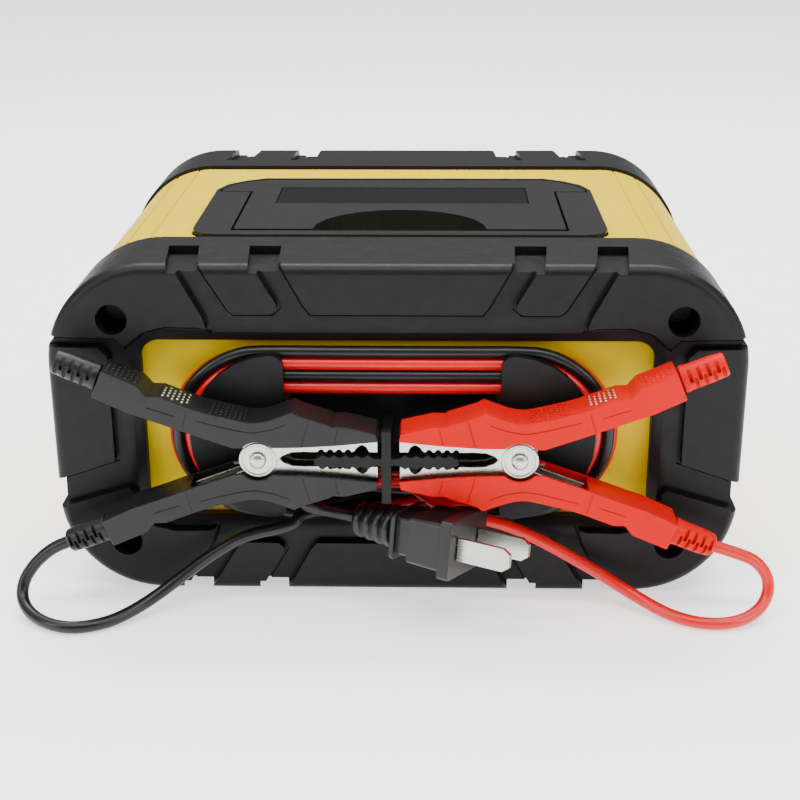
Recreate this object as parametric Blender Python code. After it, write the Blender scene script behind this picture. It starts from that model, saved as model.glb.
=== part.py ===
"""Car battery charger: a case between two moulded bumpers, with its leads wound on two cleats.

Metres, +Z up. The origin is the middle of the case's underside. The cable end faces -Y and the
control end faces +Y.
"""
import math

import bmesh
import bpy
from mathutils import Matrix, Vector

# ---- driving dimensions ----
WIDTH = 0.200               # case, across X
HEIGHT = 0.101              # case, up Z
LENGTH = 0.168              # case, along Y, over both bumpers
GAP = 0.0003                # between pieces that touch
BUMPER_DEPTH = 0.032        # each bumper, along Y
BUMPER_CORNER = 0.030       # outline corner radius
BUMPER_SKIN = 0.0045        # wall of the hollow bumper
BUMPER_EDGE = 0.003         # round between the sides and the end face
RELIEF_DEPTH = 0.0025       # how deep the channels between the raised pads are
WINDOW_HALF = 0.0737        # opening in each bumper's face
WINDOW_LOW = 0.0232
WINDOW_HIGH = 0.0778
WINDOW_CORNER = 0.007
PANEL_Y = 0.0765            # outer face of the panel behind the cable window
SHELL_WALL = 0.0025
SPLIT_Z = 0.050             # where the two shell halves meet
SCREW_X = 0.0805            # case bolts
SCREW_Z = (0.016, 0.085)
CORD = 0.0036               # outside diameter of all three cords
CABLE_X = -0.0012           # middle of the cleats and the turns
CLAMP_X = -0.0019           # middle between the two clamps
BAR_X = -0.0025             # the parking bar's upright blade
WINDING_X = 0.0375          # centre of each round end of the turns, either side of CABLE_X
WINDING_Z = 0.0505
WINDING_FRONT = 0.0843
WINDING_BACK = 0.0768
WINDING_DROP = 0.0006       # the turns at the back hang lower
WINDING_SPREAD = 0.0010     # and reach further out
PIVOT_X = 0.0366            # clamp rivet, either side of CLAMP_X
CLAMP_Y = -0.0953
CLAMP_Z = 0.0492
CLAMP_HALF = 0.0060         # half the thickness of a clamp's plastic lever
HANDLE_TOP = 0.101
HANDLE_AXIS = (0.0, -0.0385, 0.0970)
PLUG_FACE = (0.0203, -0.1070, 0.0272)
PLUG_YAW = math.radians(-28.0)
PLUG_ROLL = math.radians(10.0)

FACE_Y = LENGTH / 2
BACK_Y = FACE_Y - BUMPER_DEPTH

# ---- colours: name -> (base colour, roughness, metallic) ----
FINISHES = {
    "bumper_black": ((0.035, 0.036, 0.038), 0.45, 0.0),
    "shell_yellow": ((0.90, 0.66, 0.02), 0.35, 0.0),
    "handle_grey": ((0.055, 0.056, 0.058), 0.50, 0.0),
    "inlay_black": ((0.020, 0.020, 0.022), 0.35, 0.0),
    "clamp_black": ((0.030, 0.031, 0.033), 0.42, 0.0),
    "clamp_red": ((0.80, 0.025, 0.025), 0.38, 0.0),
    "plated_steel": ((0.62, 0.62, 0.60), 0.30, 1.0),
    "cord_black": ((0.015, 0.015, 0.016), 0.30, 0.0),
    "cord_red": ((0.75, 0.012, 0.012), 0.28, 0.0),
    "lens_dark": ((0.02, 0.025, 0.03), 0.08, 0.0),
    "board_green": ((0.02, 0.16, 0.06), 0.50, 0.0),
    "aluminium": ((0.70, 0.71, 0.72), 0.40, 1.0),
    "core_grey": ((0.16, 0.16, 0.17), 0.60, 0.4),
    "button_grey": ((0.20, 0.20, 0.21), 0.50, 0.0),
}


# ---- helpers ----
def clear_scene():
    for thing in list(bpy.data.objects):
        bpy.data.objects.remove(thing, do_unlink=True)


def make_materials():
    for name, (colour, roughness, metallic) in FINISHES.items():
        mat = bpy.data.materials.new(name)
        mat.use_nodes = True
        shader = mat.node_tree.nodes["Principled BSDF"]
        shader.inputs["Base Color"].default_value = (*colour, 1.0)
        shader.inputs["Roughness"].default_value = roughness
        shader.inputs["Metallic"].default_value = metallic


def add_mesh(name, verts, faces, finish, origin=(0.0, 0.0, 0.0)):
    """A named object whose own origin is at the given world point."""
    mesh = bpy.data.meshes.new(name)
    shift = Vector(origin)
    mesh.from_pydata([Vector(v) - shift for v in verts], [], faces)
    bm = bmesh.new()
    bm.from_mesh(mesh)
    bmesh.ops.recalc_face_normals(bm, faces=bm.faces)
    bm.to_mesh(mesh)
    bm.free()
    obj = bpy.data.objects.new(name, mesh)
    obj.location = shift
    bpy.context.collection.objects.link(obj)
    if finish:
        mesh.materials.append(bpy.data.materials[finish])
    return obj


def in_plane(plane, u, v, depth):
    """World point for outline coordinates (u, v) at a depth along the plane's normal."""
    if plane == "XY":
        return (u, v, depth)
    if plane == "XZ":
        return (u, depth, v)
    return (depth, u, v)


def prism_data(outline, plane, low, high, first=0):
    count = len(outline)
    verts = [in_plane(plane, u, v, low) for u, v in outline]
    verts += [in_plane(plane, u, v, high) for u, v in outline]
    faces = [[first + i for i in range(count)]]
    faces.append([first + count + i for i in range(count)])
    for i in range(count):
        j = (i + 1) % count
        faces.append([first + i, first + j, first + count + j, first + count + i])
    return verts, faces


def prism(name, outline, plane, low, high, finish, origin=(0.0, 0.0, 0.0)):
    verts, faces = prism_data(outline, plane, low, high)
    return add_mesh(name, verts, faces, finish, origin)


def prisms(name, shapes, finish=None, origin=(0.0, 0.0, 0.0)):
    """Several separate prisms in one object, as a cutter or to be joined on."""
    verts = []
    faces = []
    for outline, plane, low, high in shapes:
        more_verts, more_faces = prism_data(outline, plane, low, high, len(verts))
        verts += more_verts
        faces += more_faces
    return add_mesh(name, verts, faces, finish, origin)


def rectangle(u_low, u_high, v_low, v_high):
    return [(u_low, v_low), (u_high, v_low), (u_high, v_high), (u_low, v_high)]


def rounded(u_low, u_high, v_low, v_high, radius, steps=5):
    """Rectangle with round corners, counter-clockwise."""
    corners = (
        (u_high - radius, v_low + radius, -90),
        (u_high - radius, v_high - radius, 0),
        (u_low + radius, v_high - radius, 90),
        (u_low + radius, v_low + radius, 180),
    )
    points = []
    for cu, cv, start in corners:
        for k in range(steps + 1):
            angle = math.radians(start + 90.0 * k / steps)
            points.append((cu + radius * math.cos(angle), cv + radius * math.sin(angle)))
    return points


def circle(u, v, radius, steps=24):
    turns = [2 * math.pi * k / steps for k in range(steps)]
    return [(u + radius * math.cos(a), v + radius * math.sin(a)) for a in turns]


def arc(u, v, radius, start, end, steps):
    """Points on an arc, both ends included, in degrees."""
    points = []
    for k in range(steps + 1):
        angle = math.radians(start + (end - start) * k / steps)
        points.append((u + radius * math.cos(angle), v + radius * math.sin(angle)))
    return points


def skin(name, loops, finish, closed=False, origin=(0.0, 0.0, 0.0)):
    """Skin a row of equal loops; closed joins the last to the first, else both ends are capped."""
    count = len(loops[0])
    verts = [point for loop in loops for point in loop]
    faces = []
    pairs = len(loops) if closed else len(loops) - 1
    for r in range(pairs):
        a = r * count
        b = ((r + 1) % len(loops)) * count
        for i in range(count):
            j = (i + 1) % count
            faces.append([a + i, a + j, b + j, b + i])
    if not closed:
        faces.append(list(range(count)))
        faces.append([len(verts) - count + i for i in range(count)])
    return add_mesh(name, verts, faces, finish, origin)


def turned(name, profile, centre, direction, finish, steps=20, origin=(0.0, 0.0, 0.0)):
    """Stack of circles: profile is (distance along direction, radius)."""
    along = Vector(direction).normalized()
    side = along.cross(Vector((0, 0, 1)))
    if side.length < 0.01:
        side = along.cross(Vector((1, 0, 0)))
    side.normalize()
    up = side.cross(along)
    loops = []
    for distance, radius in profile:
        base = Vector(centre) + along * distance
        loop = [base + side * u + up * v for u, v in circle(0, 0, radius, steps)]
        loops.append(loop)
    return skin(name, loops, finish, origin=origin)


def boolean(target, tool, operation):
    tool.hide_render = True
    tool.display_type = "WIRE"
    tool.parent = target
    tool.matrix_parent_inverse = Matrix.Translation(-target.location)
    step = target.modifiers.new(tool.name, "BOOLEAN")
    step.operation = operation
    step.solver = "EXACT"
    step.object = tool


def cut(target, tool):
    boolean(target, tool, "DIFFERENCE")


def join(target, tool):
    boolean(target, tool, "UNION")


def tube(name, points, radius, finish, resolution=2, origin=(0.0, 0.0, 0.0)):
    curve = bpy.data.curves.new(name, "CURVE")
    curve.dimensions = "3D"
    curve.bevel_depth = radius
    curve.bevel_resolution = resolution
    curve.use_fill_caps = True
    spline = curve.splines.new("POLY")
    spline.points.add(len(points) - 1)
    shift = Vector(origin)
    for point, place in zip(spline.points, points):
        point.co = (*(Vector(place) - shift), 1.0)
    curve.materials.append(bpy.data.materials[finish])
    obj = bpy.data.objects.new(name, curve)
    obj.location = shift
    bpy.context.collection.objects.link(obj)
    return obj


# ---- bumpers ----
def case_loop(inset, y):
    shape = rounded(
        -WIDTH / 2 + inset, WIDTH / 2 - inset, inset, HEIGHT - inset, BUMPER_CORNER - inset
    )
    return [(x, y, z) for x, z in shape]


def window_loop(outset, y):
    shape = rounded(
        -WINDOW_HALF - outset,
        WINDOW_HALF + outset,
        WINDOW_LOW - outset,
        WINDOW_HIGH + outset,
        WINDOW_CORNER + outset,
    )
    return [(x, y, z) for x, z in shape]


def relief_outline():
    """The lowered part of the end face: a band round the window, with channels out to the edges."""
    upper = [
        (-0.0240, 0.0867), (-0.0258, 0.0890), (-0.0339, 0.1040),
        (-0.0422, 0.1040), (-0.0337, 0.0896), (-0.0337, 0.0882), (-0.0354, 0.0867),
        (-0.0457, 0.0866), (-0.0473, 0.0878), (-0.0572, 0.1040),
        (-0.0645, 0.1040), (-0.0547, 0.0857), (-0.0538, 0.0822), (-0.0560, 0.0828),
        (-0.0660, 0.0830), (-0.0725, 0.0812), (-0.0775, 0.0768),
        (-0.0800, 0.0795), (-0.1040, 0.0800), (-0.1040, 0.0770), (-0.0850, 0.0765),
        (-0.0824, 0.0740),
    ]
    lower = [
        (-0.0824, 0.0418), (-0.0970, 0.0367), (-0.1040, 0.0343), (-0.1040, 0.0256),
        (-0.0947, 0.0284), (-0.0789, 0.0333), (-0.0774, 0.0322), (-0.0770, 0.0280),
    ]
    feet = [(x, 0.1024 - z) for x, z in reversed(upper[:16])]
    left = upper + lower + feet
    right = [(-x, z) for x, z in reversed(left)]
    return left + right


def bumper(name, side, wall_end):
    """side is -1 at the cable end and +1 at the control end; wall_end is how deep the window's wall goes."""
    loops = [case_loop(0.0, side * BACK_Y)]
    for k in range(4):
        angle = math.radians(30.0 * k)
        inset = BUMPER_EDGE * (1 - math.cos(angle))
        y = FACE_Y - BUMPER_EDGE + BUMPER_EDGE * math.sin(angle)
        loops.append(case_loop(inset, side * y))
    loops.append(window_loop(0.0030, side * FACE_Y))
    loops.append(window_loop(0.0030, side * (FACE_Y - RELIEF_DEPTH)))
    loops.append(window_loop(0.0, side * (FACE_Y - 0.0045)))
    loops.append(window_loop(0.0, side * wall_end))
    loops.append(window_loop(0.0030, side * wall_end))
    loops.append(window_loop(0.0030, side * (FACE_Y - BUMPER_SKIN)))
    loops.append(case_loop(BUMPER_SKIN, side * (FACE_Y - BUMPER_SKIN)))
    loops.append(case_loop(BUMPER_SKIN, side * BACK_Y))
    body = skin(name, loops, "bumper_black", closed=True)

    corners = [(sx * SCREW_X, z) for sx in (-1, 1) for z in SCREW_Z]
    boss_ends = sorted((side * (FACE_Y - 0.0040), side * 0.0640))
    bosses = prisms(name + "_bosses", [(circle(x, z, 0.0070), "XZ", *boss_ends) for x, z in corners])
    join(body, bosses)

    relief_ends = sorted((side * (FACE_Y - RELIEF_DEPTH), side * 0.090))
    cut(body, prism(name + "_relief", relief_outline(), "XZ", *relief_ends, None))

    grooves = []
    for sx in (-1, 1):
        for back, front in (((0.0667, 0.0579), (0.0636, 0.0547)), ((0.0431, 0.0339), (0.0408, 0.0325))):
            shape = [(sx * back[0], side * 0.0624), (sx * back[1], side * 0.0624),
                     (sx * front[1], side * 0.0900), (sx * front[0], side * 0.0900)]
            grooves.append((shape, "XY", HEIGHT - 0.0024, 0.110))
            grooves.append((shape, "XY", -0.010, 0.0030))
        for z_low, z_high in ((0.0267, 0.0356), (0.0772, 0.0798)):
            low, high = sorted((sx * (WIDTH / 2 - 0.0022), sx * 0.110))
            ends = sorted((side * 0.0640, side * 0.090))
            grooves.append((rectangle(low, high, z_low, z_high), "XZ", *ends))
    cut(body, prisms(name + "_grooves", grooves))

    head_ends = sorted((side * 0.0700, side * 0.090))
    if side < 0:
        cut(body, prisms(name + "_heads", [(circle(x, z, 0.0045), "XZ", *head_ends) for x, z in corners]))
    cut(body, prisms(name + "_bores", [
        (circle(x, z, 0.0022, 16), "XZ", *sorted((side * 0.0600, side * 0.0760))) for x, z in corners
    ]))
    return body


def case_bolts():
    for sx, across in ((-1, "left"), (1, "right")):
        for z, level in zip(SCREW_Z, ("lower", "upper")):
            profile = ((0.0, 0.0035), (0.0030, 0.0035), (0.0030, 0.0018), (0.1440, 0.0018))
            turned(f"case_bolt_{across}_{level}", profile, (sx * SCREW_X, -0.0733, z), (0, 1, 0),
                   "plated_steel", steps=16)


# ---- shell ----
def shell_half(name, upper, finish):
    """One half of the wrap between the bumpers, as a bent wall."""
    x = WIDTH / 2 - 0.0012
    z = HEIGHT - 0.0013 if upper else 0.0
    sign = 1 if upper else -1
    edge = SPLIT_Z + sign * GAP / 2
    radius = 0.0285
    outline = [(x, edge)]
    outline += arc(x - radius, z - sign * radius, radius, 0, sign * 90, 6)
    outline += arc(-x + radius, z - sign * radius, radius, sign * 90, sign * 180, 6)
    outline.append((-x, edge))
    inner = x - SHELL_WALL
    inner_z = z - sign * SHELL_WALL
    inner_radius = radius - SHELL_WALL
    outline.append((-inner, edge))
    outline += arc(-inner + inner_radius, inner_z - sign * inner_radius, inner_radius,
                   sign * 180, sign * 90, 6)
    outline += arc(inner - inner_radius, inner_z - sign * inner_radius, inner_radius,
                   sign * 90, 0, 6)
    outline.append((inner, edge))
    reach = BACK_Y - GAP
    return prism(name, outline, "XZ", -reach, reach, finish)


def tray_outline(grow):
    """The handle tray from above, with its back corners cut to follow the handle."""
    right = arc(0.0553, -0.0413, 0.0077 + grow, -90, 0, 3)
    right += [(x + grow, y + grow) for x, y in
              ((0.0630, 0.0128), (0.0604, 0.0206), (0.0550, 0.0266), (0.0484, 0.0307))]
    return right + [(-x, y) for x, y in reversed(right)]


def upper_shell():
    shell = shell_half("upper_shell", True, "shell_yellow")
    opening = tray_outline(0.0003)
    cut(shell, prism("upper_shell_opening", opening, "XY", 0.080, 0.110, None))


def lower_shell():
    shell = shell_half("lower_shell", False, "shell_yellow")
    posts = [(circle(x, y, 0.0035, 12), "XY", 0.0020, 0.0082)
             for x in (-0.0700, 0.0480) for y in (-0.0380, 0.0380)]
    join(shell, prisms("lower_shell_posts", posts))
    slots = []
    for k in range(5):
        y = -0.0160 + 0.0080 * k
        slots.append((rectangle(y - 0.0015, y + 0.0015, 0.0280, 0.0440), "YZ", 0.090, 0.110))
        slots.append((rectangle(y - 0.0015, y + 0.0015, 0.0280, 0.0440), "YZ", -0.110, -0.090))
    cut(shell, prisms("lower_shell_vents", slots))


# ---- cable end: panel, cleats, parking bar, glands ----
GLANDS = {
    "gland_black_lead": (-0.0150, 0.0262),
    "gland_mains": (0.0, 0.0340),
    "gland_red_lead": (0.0150, 0.0290),
}


def cable_panel():
    outline = rounded(-WINDOW_HALF - 0.0030, WINDOW_HALF + 0.0030, WINDOW_LOW - 0.0030,
                      WINDOW_HIGH + 0.0030, 0.010)
    panel = prism("cable_panel", outline, "XZ", -PANEL_Y, -PANEL_Y + 0.0030, "shell_yellow")
    holes = [(circle(x, z, 0.0040, 16), "XZ", -0.080, -0.070) for x, z in GLANDS.values()]
    cut(panel, prisms("cable_panel_holes", holes))
    for name, (x, z) in GLANDS.items():
        profile = ((0.0, 0.0056), (0.0022, 0.0056), (0.0022, 0.0037), (0.0053, 0.0037))
        turned(name, profile, (x, -0.0710, z), (0, -1, 0), "bumper_black", steps=16)


def half_moon(side, centre, radius, corner):
    """Disc cut straight on its inner side, with two round corners there."""
    flat = 0.0309
    points = []
    start = math.degrees(math.pi - math.acos((centre - flat - corner) / (radius - corner)))
    corner_z = math.sqrt((radius - corner) ** 2 - (centre - flat - corner) ** 2)
    for k in range(15):
        angle = math.radians(-start + 2 * start * k / 14)
        points.append((centre + radius * math.cos(angle), WINDING_Z + radius * math.sin(angle)))
    points += arc(flat + corner, WINDING_Z + corner_z, corner, start, 180, 3)[1:]
    points += arc(flat + corner, WINDING_Z - corner_z, corner, 180, 360 - start, 3)[:-1]
    return [(CABLE_X + side * u, v) for u, v in points]


def cleat(name, side):
    plate = prism(name, half_moon(side, 0.0330, 0.0252, 0.0035), "XZ", -0.0872, -0.0846, "bumper_black")
    post = half_moon(side, WINDING_X, 0.0092, 0.0020)
    join(plate, prism(name + "_post", post, "XZ", -0.0855, -PANEL_Y - GAP, None))


def parking_bar():
    """Cross that both clamps bite on: a wavy bar on an upright blade from the panel."""
    upper = []
    bumps = 5
    pitch = 0.0031
    for side in (-1, 1):
        run = [(side * 0.0030, CLAMP_Z + 0.0010)]
        for k in range(bumps):
            middle = 0.0052 + pitch * k
            run.append((side * (middle - 0.0011), CLAMP_Z + 0.0014))
            run.append((side * middle, CLAMP_Z + 0.0021))
            run.append((side * (middle + 0.0011), CLAMP_Z + 0.0014))
        run.append((side * 0.0201, CLAMP_Z + 0.0008))
        upper += list(reversed(run)) if side < 0 else run
    upper = [(BAR_X + x, z) for x, z in upper]
    lower = [(x, 2 * CLAMP_Z - z) for x, z in reversed(upper)]
    bar = prism("parking_bar", upper + lower, "XZ", -0.1012, -0.0895, "bumper_black")
    profile = [
        (-PANEL_Y - GAP, CLAMP_Z - 0.0070), (-PANEL_Y - GAP, CLAMP_Z + 0.0062),
        (-0.0990, CLAMP_Z + 0.0062), (-0.0990, CLAMP_Z + 0.0093),
        (-0.1018, CLAMP_Z + 0.0093), (-0.1018, CLAMP_Z - 0.0123),
        (-0.0990, CLAMP_Z - 0.0123), (-0.0990, CLAMP_Z - 0.0070),
    ]
    join(bar, prism("parking_bar_blade", profile, "YZ", BAR_X - 0.0013, BAR_X + 0.0013, None))
    foot = rounded(CABLE_X - 0.0300, CABLE_X + 0.0300, WINDING_Z - 0.0112, WINDING_Z + 0.0112, 0.003)
    join(bar, prism("parking_bar_foot", foot, "XZ", -0.0786, -PANEL_Y - GAP, None))


# ---- clamps: local u runs from the rivet towards the tip, v away from the other lever ----
COVER = [
    (-0.0421, 0.0263), (-0.0322, 0.0220), (-0.0299, 0.0191), (-0.0266, 0.0190),
    (-0.0158, 0.0149), (-0.0060, 0.0124), (-0.0016, 0.0116), (0.0030, 0.0122),
    (0.0100, 0.0148), (0.0118, 0.0137), (0.0200, 0.0110), (0.0244, 0.0105),
    (0.0332, 0.0084), (0.0338, 0.0061), (0.0224, 0.0049), (0.0115, 0.0042),
    (-0.0067, 0.0039), (-0.0175, 0.0077), (-0.0228, 0.0097), (-0.0309, 0.0127),
    (-0.0360, 0.0145), (-0.0451, 0.0189),
]
COVER_SLOT = [
    (0.0400, 0.0064), (0.0220, 0.0085), (0.0110, 0.0106), (0.0020, 0.0093),
    (-0.0060, 0.0096), (-0.0195, 0.0132), (-0.0195, -0.0100), (0.0400, -0.0100),
]
JAW_TOP = [
    (0.0336, 0.0060), (0.0220, 0.0081), (0.0110, 0.0102), (0.0020, 0.0089),
    (-0.0060, 0.0092), (-0.0180, 0.0124), (-0.0190, 0.0096),
]
JAW_TEETH = [
    (0.0070, 0.0013), (0.0095, 0.0023), (0.0130, 0.0024), (0.0168, 0.0024),
    (0.0186, 0.0031), (0.0201, 0.0024), (0.0219, 0.0031), (0.0234, 0.0024),
    (0.0252, 0.0031), (0.0266, 0.0024), (0.0278, 0.0046), (0.0305, 0.0046),
    (0.0314, 0.0024), (0.0336, 0.0024),
]
JAW_HOLLOW = [
    (0.0400, 0.0035), (0.0220, 0.0069), (0.0110, 0.0090), (0.0020, 0.0077),
    (-0.0060, 0.0080), (-0.0250, 0.0131), (-0.0250, -0.0100), (0.0400, -0.0100),
]
EAR = 0.0053
TAIL = (-0.0436, 0.0226)
TAIL_DIRECTION = (-0.927, 0.375)


def to_world(outline, side, up):
    """Clamp outline to world X and Z; side -1 is the left clamp, up -1 the lower lever."""
    return [(CLAMP_X + side * (PIVOT_X - u), CLAMP_Z + up * v) for u, v in outline]


def clamp_pivot(side):
    return (CLAMP_X + side * PIVOT_X, CLAMP_Y, CLAMP_Z)


def clamp_cover(name, side, up, finish):
    pivot = clamp_pivot(side)
    low = CLAMP_Y - CLAMP_HALF
    high = CLAMP_Y + CLAMP_HALF
    cover = prism(name, to_world(COVER, side, up), "XZ", low, high, finish, pivot)
    slot = to_world(COVER_SLOT, side, up)
    cut(cover, prism(name + "_slot", slot, "XZ", CLAMP_Y - 0.0049, CLAMP_Y + 0.0049, None))
    ear = prism(name + "_ear", circle(pivot[0], CLAMP_Z, EAR + 0.0005), "XZ", low - 0.01, high + 0.01, None)
    cut(cover, ear)


def clamp_jaw(name, side, up, half_width):
    pivot = clamp_pivot(side)
    outline = JAW_TOP + arc(0, 0, EAR, 135, 355, 11) + JAW_TEETH
    low = CLAMP_Y - half_width
    high = CLAMP_Y + half_width
    jaw = prism(name, to_world(outline, side, up), "XZ", low, high, "plated_steel", pivot)
    hollow = prism(name + "_hollow", to_world(JAW_HOLLOW, side, up), "XZ", low + 0.0012, high - 0.0012, None)
    cut(jaw, hollow)
    hole = prism(name + "_hole", circle(pivot[0], CLAMP_Z, 0.0019, 16), "XZ", low - 0.01, high + 0.01, None)
    cut(jaw, hole)


def clamp_boot(name, side, up, finish):
    u, v = TAIL
    du, dv = TAIL_DIRECTION
    start = to_world([(u + GAP * du, v + GAP * dv)], side, up)[0]
    direction = (-side * du, 0, up * dv)
    profile = ((0.0, 0.0038), (0.0020, 0.0040), (0.0090, 0.0037), (0.0130, 0.0031))
    pivot = clamp_pivot(side)
    turned(name, profile, (start[0], CLAMP_Y, start[1]), direction, finish, 16, pivot)


def clamp_spring(name, side):
    """Torsion spring: turns round the rivet and two short legs, clear of the upper lever when it opens."""
    x, y, z = clamp_pivot(side)
    points = [(x + side * 0.0075, y - 0.0012, z + 0.0034)]
    steps = 24
    for k in range(steps + 1):
        angle = math.radians(100.0 + 880.0 * k / steps)
        u = 0.0031 * math.cos(angle)
        v = 0.0031 * math.sin(angle)
        points.append((x - side * u, y - 0.0012 + 0.0024 * k / steps, z + v))
    points.append((x + side * 0.0075, y + 0.0012, z - 0.0034))
    tube(name, points, 0.0004, "plated_steel", 1, (x, y, z))


def clamp(colour, side):
    finish = "clamp_" + colour
    clamp_cover(f"{colour}_clamp_upper_lever", side, 1, finish)
    clamp_cover(f"{colour}_clamp_lower_lever", side, -1, finish)
    clamp_jaw(f"{colour}_clamp_upper_jaw", side, 1, 0.0046)
    clamp_jaw(f"{colour}_clamp_lower_jaw", side, -1, 0.0031)
    clamp_boot(f"{colour}_clamp_upper_boot", side, 1, finish)
    clamp_boot(f"{colour}_clamp_lower_boot", side, -1, finish)
    clamp_spring(f"{colour}_clamp_spring", side)
    profile = (
        (-0.0064, 0.0010), (-0.0058, 0.0020), (-0.0049, 0.0024), (-0.0049, 0.0016),
        (0.0049, 0.0016), (0.0049, 0.0024), (0.0058, 0.0020), (0.0064, 0.0010),
    )
    turned(f"{colour}_clamp_rivet", profile, clamp_pivot(side), (0, 1, 0), "plated_steel")


# ---- cords ----
def winding(name, layer, finish):
    """One layer of turns round both cleats: a flat ring with round ends, lower and wider at the back."""
    outer = 0.0266 - CORD * layer
    inner = outer - CORD + GAP
    front = (-WINDING_FRONT, 0.0, 0.0)
    back = (-WINDING_BACK, WINDING_SPREAD, WINDING_DROP)
    loops = []
    for radius, (y, spread, drop) in ((outer, front), (outer, back), (inner, back), (inner, front)):
        shape = arc(CABLE_X + WINDING_X + spread, WINDING_Z - drop, radius, -90, 90, 10)
        shape += arc(CABLE_X - WINDING_X - spread, WINDING_Z - drop, radius, 90, 270, 10)
        loops.append([(x, y, z) for x, z in shape])
    skin(name, loops, finish, closed=True)


BLACK_TAIL = [
    (-0.0280, -0.0846, 0.0257), (-0.0280, -0.0862, 0.0257), (-0.0300, -0.0886, 0.0244),
    (-0.0347, -0.0900, 0.0234), (-0.0400, -0.0906, 0.0224), (-0.0455, -0.0912, 0.0208),
    (-0.0512, -0.0918, 0.0176), (-0.0572, -0.0926, 0.0136), (-0.0632, -0.0944, 0.0094),
    (-0.0690, -0.0973, 0.0058), (-0.0746, -0.1015, 0.0034), (-0.0806, -0.1066, 0.0022),
    (-0.0868, -0.1102, 0.0020), (-0.0930, -0.1112, 0.0020), (-0.0992, -0.1092, 0.0021),
    (-0.1044, -0.1054, 0.0026), (-0.1078, -0.1014, 0.0040), (-0.1090, -0.0985, 0.0066),
    (-0.1081, -0.0967, 0.0102), (-0.1053, -0.0958, 0.0142), (-0.1020, -0.0955, 0.0174),
    (-0.0988, -0.0953, 0.0196), (-0.0948, -0.0953, 0.0214),
]
RED_TAIL = [
    (0.0040, -0.0846, 0.0365), (0.0040, -0.0860, 0.0365), (0.0060, -0.0870, 0.0345),
    (0.0100, -0.0868, 0.0312), (0.0145, -0.0866, 0.0283), (0.0200, -0.0866, 0.0262),
    (0.0265, -0.0868, 0.0250), (0.0330, -0.0874, 0.0232), (0.0392, -0.0880, 0.0206),
    (0.0452, -0.0886, 0.0176), (0.0512, -0.0890, 0.0142), (0.0577, -0.0898, 0.0106),
    (0.0642, -0.0916, 0.0070), (0.0707, -0.0950, 0.0042), (0.0772, -0.1000, 0.0025),
    (0.0838, -0.1042, 0.0020), (0.0905, -0.1060, 0.0020), (0.0968, -0.1050, 0.0021),
    (0.1022, -0.1022, 0.0029), (0.1060, -0.0990, 0.0050), (0.1076, -0.0966, 0.0086),
    (0.1066, -0.0955, 0.0128), (0.1030, -0.0953, 0.0168), (0.0972, -0.0953, 0.0193),
    (0.0910, -0.0953, 0.0214),
]
MAINS_TAIL = [
    (-0.0290, -0.0846, 0.0329), (-0.0290, -0.0861, 0.0329), (-0.0284, -0.0878, 0.0318),
    (-0.0262, -0.0884, 0.0301), (-0.0230, -0.0874, 0.0285), (-0.0192, -0.0869, 0.0275),
    (-0.0155, -0.0880, 0.0272), (-0.0116, -0.0901, 0.0272),
]


def cords():
    winding("black_lead_winding", 0, "cord_black")
    winding("red_lead_winding", 1, "cord_red")
    winding("mains_cord_winding", 2, "cord_black")
    winding("red_lead_inner_turns", 3, "cord_red")
    tube("black_lead_tail", BLACK_TAIL, CORD / 2, "cord_black")
    tube("red_lead_tail", RED_TAIL, CORD / 2, "cord_red")
    tube("mains_cord_tail", MAINS_TAIL, CORD / 2, "cord_black")


# ---- plug ----
def along_plug(distance, across=0.0, height=0.0):
    """World point: distance back from the plug's face, across its width, and up."""
    direction = Vector((math.cos(PLUG_YAW), math.sin(PLUG_YAW), 0.0))
    level = Vector((-math.sin(PLUG_YAW), math.cos(PLUG_YAW), 0.0))
    upright = Vector((0.0, 0.0, 1.0))
    sideways = level * math.cos(PLUG_ROLL) - upright * math.sin(PLUG_ROLL)
    up = upright * math.cos(PLUG_ROLL) + level * math.sin(PLUG_ROLL)
    return Vector(PLUG_FACE) - direction * distance + sideways * across + up * height


def plug():
    stations = (
        (0.0, 0.0115, 0.0084), (0.0035, 0.0115, 0.0084), (0.0035, 0.0098, 0.0070),
        (0.0143, 0.0094, 0.0067), (0.0143, 0.0078, 0.0056), (0.0185, 0.0078, 0.0056),
        (0.0185, 0.0094, 0.0068), (0.0200, 0.0092, 0.0066), (0.0213, 0.0064, 0.0056),
    )
    loops = []
    for distance, half_width, half_height in stations:
        shape = rounded(-half_width, half_width, -half_height, half_height, 0.0015, 2)
        loops.append([along_plug(distance, a, h) for a, h in shape])
    skin("plug_body", loops, "cord_black")
    ribs = [(0.0, 0.0050)]
    for k in range(4):
        start = 0.0008 + 0.0033 * k
        radius = 0.0062 - 0.0003 * k
        ribs += [(start, radius - 0.0014), (start, radius), (start + 0.0024, radius),
                 (start + 0.0024, radius - 0.0014)]
    ribs.append((0.0142, 0.0030))
    backwards = along_plug(1.0) - along_plug(0.0)
    turned("plug_strain_relief", ribs, along_plug(0.0216), backwards, "cord_black", 16)
    for name, across in (("plug_blade_near", -0.00635), ("plug_blade_far", 0.00635)):
        outline = [(0.0003, -0.0032), (0.0003, 0.0032), (0.0140, 0.0032), (0.0160, 0.0018),
                   (0.0160, -0.0018), (0.0140, -0.0032)]
        loops = []
        for offset in (-0.00075, 0.00075):
            loops.append([along_plug(-d, across + offset, h) for d, h in outline])
        skin(name, loops, "plated_steel")


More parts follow.
